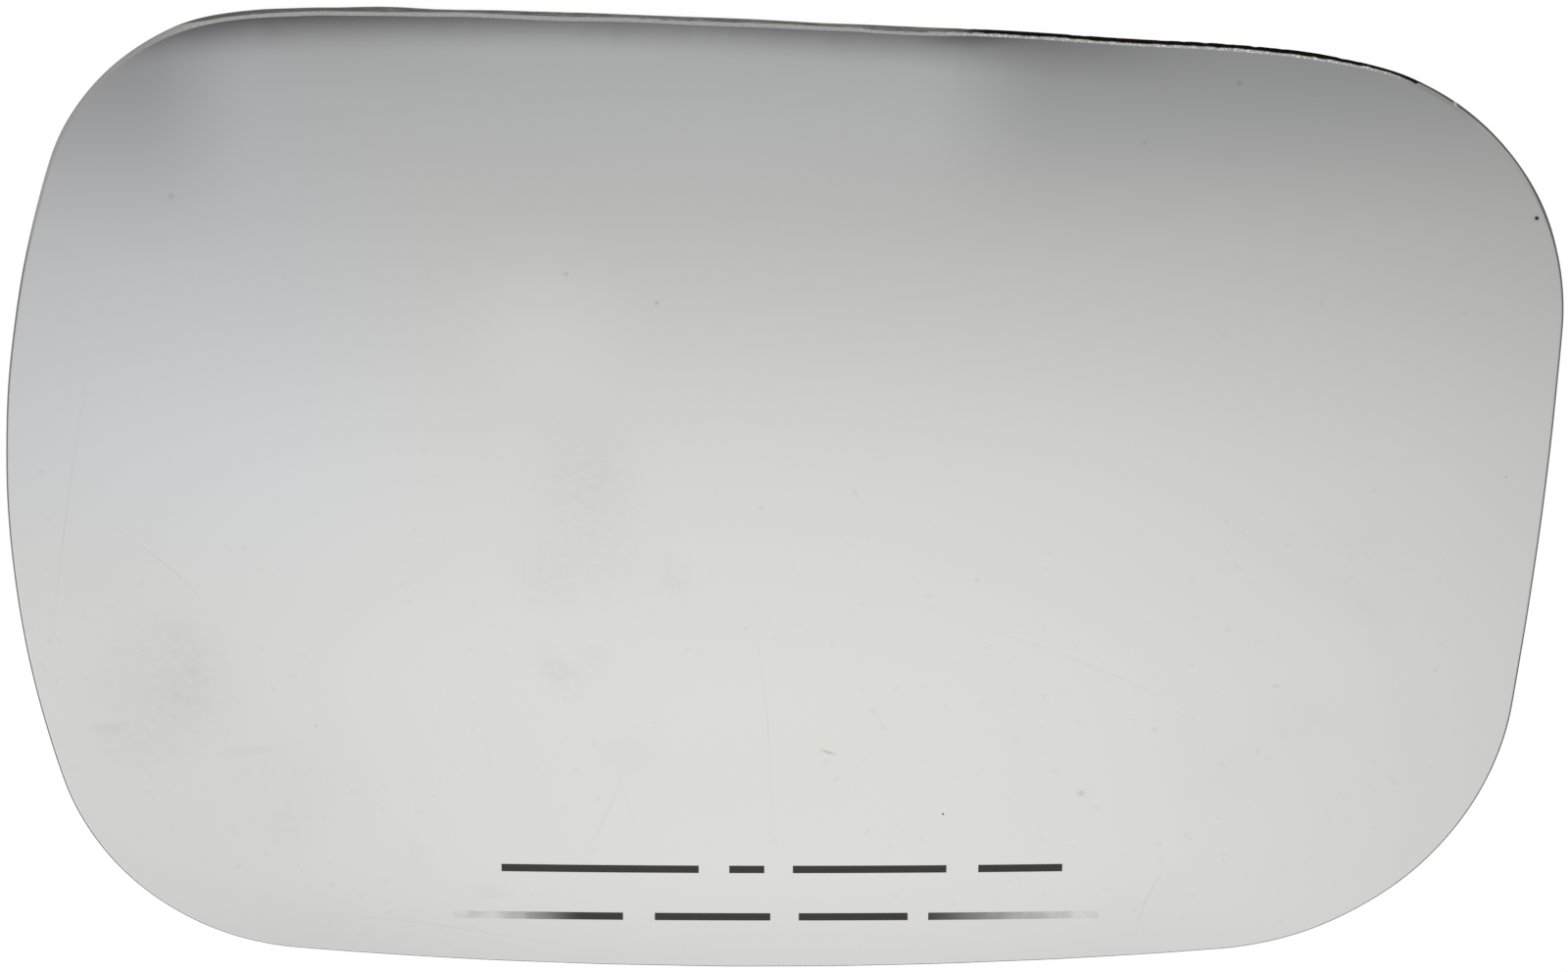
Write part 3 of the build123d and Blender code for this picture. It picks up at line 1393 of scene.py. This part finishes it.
    def _bend(self, mesh: bmesh.types.BMesh, depth: bmesh.types.BMLayerItem) -> None:
        """Lifts the flat plate on to its two balls.

        Args:
            mesh: The flat plate.
            depth: Layer with each point's depth below the face, in millimetres.
        """
        for vert in mesh.verts:
            share = vert[depth] * MM / self.bend.thickness
            top, bottom = self.bend.face_height(vert.co), self.bend.back_height(vert.co)
            vert.co.z = top + (bottom - top) * share

    def _zone(
        self, mesh: bmesh.types.BMesh, fronts: list[bmesh.types.BMFace], backs: list[bmesh.types.BMFace]
    ) -> None:
        """Sorts the faces into zones and keeps the edges between bevel, wall and faces sharp.

        Args:
            mesh: The bent plate.
            fronts: Faces of its silvered side.
            backs: Faces of its painted side.
        """
        for face in mesh.faces:
            face.material_index = Zone.RIM
            face.smooth = True
        marked = MarkedFace()
        for face in fronts:
            middle = face.calc_center_median()
            face.material_index = Zone.FACE
            if any(dash.holds(middle) for dash in self.dashes):
                face.material_index = Zone.ETCHED
            elif marked.carries(middle, self.face_pitch):
                face.material_index = Zone.MARKED
        for face in backs:
            face.material_index = Zone.BACK
        bmesh.ops.recalc_face_normals(mesh, faces=mesh.faces[:])
        for edge in mesh.edges:
            edge.smooth = edge.calc_face_angle(0.0) < self.sharp_angle

    def _finish(self, mesh: bmesh.types.BMesh) -> bpy.types.Object:
        """Turns the mesh into an object whose two faces shade as true balls.

        Args:
            mesh: The finished mesh.

        Returns:
            The new object.
        """
        piece = put_in_scene("convex_mirror_glass", mesh)
        data = piece.data
        normals = [Vector()] * len(data.loops)
        for polygon in data.polygons:
            if polygon.material_index == Zone.RIM:
                continue
            side = -1 if polygon.material_index == Zone.BACK else 1
            for loop in polygon.loop_indices:
                place = data.vertices[data.loops[loop].vertex_index].co
                normals[loop] = self.bend.arm(place, self.bend.face_radius).normalized() * side
        data.normals_split_custom_set(normals)
        return piece


@dataclass(frozen=True)
class Speck:
    """One fleck on the face."""

    x: float
    y: float
    radius: float


@dataclass
class DustSpecks:
    """The few dark flecks of dirt that lie on the face."""

    bend: Bend
    flatness: float = 0.25
    specks: tuple[Speck, ...] = (
        Speck(110.2 * MM, 44.9 * MM, 0.30 * MM),
        Speck(24.3 * MM, -50.9 * MM, 0.16 * MM),
        Speck(107.2 * MM, 3.7 * MM, 0.09 * MM),
    )

    def build(self) -> bpy.types.Object:
        """Models the specks as flattened drops that sit on the face.

        Returns:
            The finished piece, undressed.
        """
        mesh = bmesh.new()
        for speck in self.specks:
            place = Vector((speck.x, speck.y, 0))
            place.z = self.bend.face_height(place)
            outwards = self.bend.arm(place, self.bend.face_radius)
            upright = outwards.to_track_quat("Z", "Y").to_matrix().to_4x4()
            shape = Matrix.Diagonal((speck.radius, speck.radius, speck.radius * self.flatness, 1.0))
            bmesh.ops.create_icosphere(
                mesh, subdivisions=2, radius=1.0, matrix=Matrix.Translation(place) @ upright @ shape
            )
        for face in mesh.faces:
            face.smooth = True
        return put_in_scene("dust_specks", mesh)

    def dress(self, piece: bpy.types.Object) -> None:
        """Gives the specks their finish and ties them to the glass.

        Args:
            piece: The specks.
        """
        piece.data.materials.append(DustSpeck().material())
        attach(piece, BODY)


@dataclass(frozen=True)
class RoomStep:
    """A soft change in the brightness of the room that the mirror shows.

    Attributes:
        start: Where it begins, as the slope away from straight overhead towards the back wall.
        end: Where it is complete.
        change: How much brighter the room is from there on.
    """

    start: float
    end: float
    change: float


@dataclass(frozen=True)
class DarkCard:
    """A soft dark card overhead, which shades one upper corner of the mirror.

    Attributes:
        near: Slopes to the side between which it begins and is at its full depth.
        far: Slopes to the side between which it ends.
        top: Slopes towards the back wall between which it begins.
        drop: Slopes towards the back wall between which it ends.
        depth: Share of the light that it takes.
    """

    near: tuple[float, float]
    far: tuple[float, float]
    top: tuple[float, float]
    drop: tuple[float, float]
    depth: float


@dataclass(frozen=True)
class OverheadBar:
    """The arched dark bar overhead, which shades the upper edge of the mirror.

    Attributes:
        middle: Slope to the side where the arch is highest.
        arch: How much the bar bends down to both sides.
        top: Slopes towards the back wall between which it begins.
        drop: Slopes towards the back wall between which it ends.
        fade: Slopes to the side between which it dies out on the right.
        depth: Share of the light that it takes.
    """

    middle: float = -0.064
    arch: float = 0.507
    top: tuple[float, float] = (0.14, 0.22)
    drop: tuple[float, float] = (0.268, 0.2914)
    fade: tuple[float, float] = (0.005, 0.156)
    depth: float = 0.97


@dataclass(frozen=True)
class Glow:
    """A soft brighter or darker place in the room.

    Attributes:
        place: Its middle, as slopes to the side and towards the back wall.
        reach: How far it spreads along each of them.
        gain: How much brighter it is, as a share, or how much darker where it is negative.
    """

    place: tuple[float, float]
    reach: tuple[float, float]
    gain: float


@dataclass(frozen=True)
class Walls:
    """The pale walls all round, beyond the dark edge of the ceiling, which low views show.

    Attributes:
        edge: Slopes away from overhead between which the ceiling darkens towards its edge.
        edge_end: Slopes between which that edge ends.
        edge_depth: Share of the light that the edge takes.
        rise: Slopes between which the walls take over.
        level: Their brightness.
        low: Slopes between which they change again towards the floor.
        low_change: How much brighter they are there.
    """

    edge: tuple[float, float] = (0.85, 1.10)
    edge_end: tuple[float, float] = (1.25, 1.70)
    edge_depth: float = 0.45
    rise: tuple[float, float] = (1.20, 2.30)
    level: float = 0.72
    low: tuple[float, float] = (2.3, 7.0)
    low_change: float = -0.34


@dataclass(frozen=True)
class Room:
    """The dim room that the mirror shows: a bright panel between a dark bar and two dark cards.

    A direction in it is told by two slopes away from straight overhead, one to the side and one
    towards the back wall.
    """

    least_rise: float = 0.05
    ceiling: float = 0.433
    # Tints, and where each of them shows
    neutral: Colour = (1.0, 1.0, 1.0)
    cool: Colour = (1.0, 1.0, 1.045)
    cool_side: tuple[float, float] = (-0.09, -0.20)
    cool_drop: tuple[float, float] = (0.44, 0.54)
    cool_top: tuple[float, float] = (0.365, 0.305)
    cool_top_share: float = 0.55
    warm: Colour = (1.0, 1.0, 0.968)
    warm_place: tuple[float, float] = (-0.015, 0.60)
    warm_reach: tuple[float, float] = (0.16, 0.14)
    # What makes the room brighter or darker
    steps: tuple[RoomStep, ...] = (
        RoomStep(0.20, 0.0, 0.12),
        RoomStep(0.26, 0.50, 0.33),
        RoomStep(0.476, 0.562, 0.034),
        RoomStep(0.635, 0.79, -0.22),
        RoomStep(-0.16, -0.42, 0.30),
    )
    bar: OverheadBar = OverheadBar()
    cards: tuple[DarkCard, ...] = (
        DarkCard((0.041, 0.092), (0.40, 0.70), (0.02, 0.12), (0.235, 0.374), 0.45),
        DarkCard((-0.175, -0.223), (-0.40, -0.70), (0.02, 0.12), (0.22, 0.386), 0.60),
    )
    panel_middle: float = -0.034
    panel_lean: float = 0.207
    panel_level: float = 0.45
    panel_falloff: float = 2.26
    panel_least: float = 0.72
    glows: tuple[Glow, ...] = (
        Glow((-0.083, 0.394), (0.044, 0.047), 0.057),
        Glow((-0.30, 0.60), (0.10, 0.16), 0.085),
        Glow((-0.24, 0.70), (0.07, 0.075), 0.06),
        Glow((0.20, 0.70), (0.09, 0.06), 0.06),
        Glow((0.063, 0.2835), (0.03, 0.0055), -0.38),
        Glow((-0.155, 0.293), (0.085, 0.02), -0.06),
        Glow((-0.01, 0.317), (0.14, 0.026), 0.032),
    )
    walls: Walls = Walls()

    def light(self, sheet: NodeSheet) -> tuple[bpy.types.NodeSocket, bpy.types.NodeSocket]:
        """Works out the room's colour and brightness in each direction.

        Args:
            sheet: The world's node sheet.

        Returns:
            The colour and the brightness.
        """
        x, y, z = sheet.split(sheet.add("ShaderNodeTexCoord").outputs["Generated"])
        rise = sheet.math("MAXIMUM", z, self.least_rise)
        aside = sheet.math("DIVIDE", x, rise)
        back = sheet.math("DIVIDE", y, sheet.product(rise, -1.0))
        bright: Feed = self.ceiling
        for step in self.steps:
            bright = sheet.math("ADD", bright, sheet.ease(back, step.start, step.end, 0.0, step.change))
        bright = sheet.product(bright, self._panel(sheet, aside, back), self._bar(sheet, aside, back))
        for card in self.cards:
            across = sheet.band(aside, card.near, card.far)
            shade = sheet.product(across, sheet.band(back, card.top, card.drop))
            bright = sheet.product(bright, sheet.math("MULTIPLY_ADD", shade, -card.depth, 1.0))
        place = sheet.join(aside, back, 0.0)
        for glow in self.glows:
            spot = Effect.PATCH.use(sheet, Place=place, Middle=(*glow.place, 0.0), Size=(*glow.reach, 1.0))
            bright = sheet.product(bright, sheet.math("MULTIPLY_ADD", spot, glow.gain, 1.0))
        return self._tint(sheet, aside, back), self._enclose(sheet, aside, back, bright)

    def _enclose(self, sheet: NodeSheet, aside: Feed, back: Feed, bright: Feed) -> bpy.types.NodeSocket:
        """Ends the ceiling in a dark edge and sets the pale walls round it.

        Args:
            sheet: The world's node sheet.
            aside: Slope to the side.
            back: Slope towards the back wall.
            bright: Brightness of the ceiling.

        Returns:
            Brightness of the whole room.
        """
        square = sheet.math("MULTIPLY_ADD", aside, aside, sheet.product(back, back))
        slope = sheet.math("SQRT", square)
        edge = sheet.band(slope, self.walls.edge, self.walls.edge_end)
        bright = sheet.product(bright, sheet.math("MULTIPLY_ADD", edge, -self.walls.edge_depth, 1.0))
        share = sheet.ease(slope, *self.walls.rise)
        lift = sheet.product(sheet.math("SUBTRACT", self.walls.level, bright), share)
        low = sheet.ease(slope, *self.walls.low, 0.0, self.walls.low_change)
        return sheet.math("ADD", sheet.math("ADD", bright, lift), low)

    def _tint(self, sheet: NodeSheet, aside: Feed, back: Feed) -> bpy.types.NodeSocket:
        """Makes the room a little cooler to the left and overhead, and warmer low on the back wall.

        Args:
            sheet: The world's node sheet.
            aside: Slope to the side.
            back: Slope towards the back wall.

        Returns:
            The tint.
        """
        left = sheet.product(
            sheet.ease(aside, *self.cool_side), sheet.ease(back, *self.cool_drop, 1.0, 0.0)
        )
        overhead = sheet.ease(back, *self.cool_top, 0.0, self.cool_top_share)
        low = Effect.PATCH.use(
            sheet, Place=sheet.join(aside, back, 0.0), Middle=(*self.warm_place, 0.0),
            Size=(*self.warm_reach, 1.0),
        )
        plain = sheet.blend(low, rgba(self.neutral), rgba(self.warm))
        return sheet.blend(sheet.math("MAXIMUM", left, overhead), plain, rgba(self.cool))

    def _panel(self, sheet: NodeSheet, aside: Feed, back: Feed) -> bpy.types.NodeSocket:
        """Lets the bright panel fall off to both sides of its slightly leaning middle line.

        Args:
            sheet: The world's node sheet.
            aside: Slope to the side.
            back: Slope towards the back wall.

        Returns:
            Share of the light that is left.
        """
        lean = sheet.product(sheet.math("SUBTRACT", back, self.panel_level), self.panel_lean)
        off = sheet.math("SUBTRACT", sheet.math("SUBTRACT", aside, self.panel_middle), lean)
        fall = sheet.product(off, off, self.panel_falloff)
        return sheet.math("MAXIMUM", sheet.math("SUBTRACT", 1.0, fall), self.panel_least)

    def _bar(self, sheet: NodeSheet, aside: Feed, back: Feed) -> bpy.types.NodeSocket:
        """Darkens the arched bar overhead.

        Args:
            sheet: The world's node sheet.
            aside: Slope to the side.
            back: Slope towards the back wall.

        Returns:
            Share of the light that is left.
        """
        off = sheet.math("SUBTRACT", aside, self.bar.middle)
        level = sheet.math("SUBTRACT", back, sheet.product(off, off, self.bar.arch))
        shade = sheet.band(level, self.bar.top, self.bar.drop)
        shade = sheet.product(shade, sheet.ease(aside, *self.bar.fade, 1.0, 0.0))
        return sheet.math("MULTIPLY_ADD", shade, -self.bar.depth, 1.0)


@dataclass(frozen=True)
class SoftLamp:
    """A square soft lamp that points at the glass and doesn't show in it.

    Attributes:
        name: Its name.
        place: Where it hangs.
        size: Length of its sides.
        power: Its power in watts.
    """

    name: str
    place: tuple[float, float, float]
    size: float
    power: float

    def hang(self) -> None:
        """Hangs the lamp and turns it towards the glass."""
        light = bpy.data.lights.new(self.name, "AREA")
        light.size = self.size
        light.energy = self.power
        lamp = bpy.data.objects.new(self.name, light)
        lamp.location = self.place
        lamp.rotation_euler = Vector(self.place).to_track_quat("Z", "Y").to_euler()
        lamp.visible_glossy = False
        bpy.context.scene.collection.objects.link(lamp)


@dataclass
class Studio:
    """White floor, soft lamps, the dim room that the mirror shows, and the camera."""

    image_width: int = 1600
    focal_px: float = 8276.0
    sensor_width: float = 36.0
    tilt: float = math.radians(25)
    distance: float = 1.2
    aim: tuple[float, float, float] = (0.37 * MM, 2.424 * MM, 3.66 * MM)
    floor_size: float = 8.0
    floor_drop: float = 0.05 * MM
    floor_colour: Colour = (0.95, 0.95, 0.95)
    floor_glow: float = 0.96
    glow_strength: float = 1.02
    glow_from: float = 0.2
    glow_to: float = 0.8
    sky: float = 0.65
    room: Room = Room()
    lamps: tuple[SoftLamp, ...] = (
        SoftLamp("key_panel", (-0.8, -1.1, 1.5), 1.2, 18.0),
        SoftLamp("fill_panel", (1.0, 0.9, 1.4), 1.0, 4.0),
    )

    def build(self) -> None:
        """Makes the floor, the world, the lamps and the camera."""
        self._floor()
        self._world()
        for lamp in self.lamps:
            lamp.hang()
        self._camera()
        bpy.context.scene.view_settings.view_transform = "Standard"

    def _floor(self) -> None:
        """Makes the white floor, which keeps a light shadow near the glass."""
        mesh = bmesh.new()
        low = Matrix.Translation((0, 0, -self.floor_drop))
        bmesh.ops.create_grid(mesh, x_segments=1, y_segments=1, size=self.floor_size / 2, matrix=low)
        floor = put_in_scene("floor", mesh)
        material = bpy.data.materials.new("white_floor")
        material.use_nodes = True
        sheet = NodeSheet(material.node_tree)
        away = sheet.vector("LENGTH", sheet.place())
        glow_share = sheet.ease(away, self.glow_from, self.glow_to, self.floor_glow, 1.0)
        matt = sheet.add("ShaderNodeBsdfDiffuse")
        sheet.feed(matt.inputs["Color"], rgba(self.floor_colour))
        glow = sheet.add("ShaderNodeEmission")
        glow.inputs["Strength"].default_value = self.glow_strength
        path = sheet.add("ShaderNodeLightPath").outputs
        seen = sheet.math("ADD", path["Is Camera Ray"], path["Is Glossy Ray"])
        seen = sheet.math("ADD", seen, path["Is Transmission Ray"])
        sheet.send_mix("ShaderNodeOutputMaterial", sheet.product(seen, glow_share), matt, glow)
        floor.data.materials.append(material)

    def _world(self) -> None:
        """Makes the light from all round: plain white, and a dim room for what mirrors it."""
        world = bpy.data.worlds.new("studio")
        world.use_nodes = True
        bpy.context.scene.world = world
        sheet = NodeSheet(world.node_tree)
        path = sheet.add("ShaderNodeLightPath").outputs
        white = sheet.add("ShaderNodeBackground")
        seen = sheet.math("ADD", path["Is Camera Ray"], path["Is Transmission Ray"])
        sheet.feed(white.inputs["Strength"], sheet.ease(seen, 0.0, 1.0, self.sky, 1.0))
        room = sheet.add("ShaderNodeBackground")
        colour, brightness = self.room.light(sheet)
        sheet.fill(room, {"Color": colour, "Strength": brightness})
        sheet.send_mix("ShaderNodeOutputWorld", path["Is Glossy Ray"], white, room)

    def _camera(self) -> None:
        """Hangs the camera over the upper edge of the glass, looking down at a slant."""
        data = bpy.data.cameras.new("camera")
        data.sensor_width = self.sensor_width
        data.lens = self.focal_px / self.image_width * self.sensor_width
        camera = bpy.data.objects.new("camera", data)
        right = Vector((1, 0, 0))
        back = Vector((0, math.sin(self.tilt), math.cos(self.tilt)))
        turn = Matrix((right, back.cross(right), back)).transposed().to_4x4()
        camera.matrix_world = Matrix.Translation(Vector(self.aim) + back * self.distance) @ turn
        bpy.context.scene.collection.objects.link(camera)
        bpy.context.scene.camera = camera


def etched_dashes() -> list[Dash]:
    """The two rows of etched bars along the lower edge.

    Returns:
        The bars, upper row first.
    """
    height = 1.3 * MM
    upper_level, lower_level = -60.4 * MM, -68.7 * MM
    upper_ends = ((-42.3, -12.5), (-7.9, -2.6), (1.7, 24.9), (29.7, 42.4))
    lower_ends = ((-49.7, -24.0), (-19.2, -1.7), (2.6, 19.1), (22.2, 48.0))
    rows = ((upper_level, upper_ends), (lower_level, lower_ends))
    return [Dash(left * MM, right * MM, level, height) for level, ends in rows for left, right in ends]


def main() -> None:
    """Builds and dresses each piece, then the studio round it."""
    logging.basicConfig(level=logging.INFO, format="%(message)s")
    bend = Bend.from_mount(BOND_MOUNT)
    for maker in (MirrorGlass(Outline(), bend, etched_dashes()), DustSpecks(bend)):
        piece = maker.build()
        maker.dress(piece)
        log.info("%s: %d faces", piece.name, len(piece.data.polygons))
    Studio().build()
    log.info("studio: floor, world, lamps and camera")


if __name__ == "__main__":
    main()
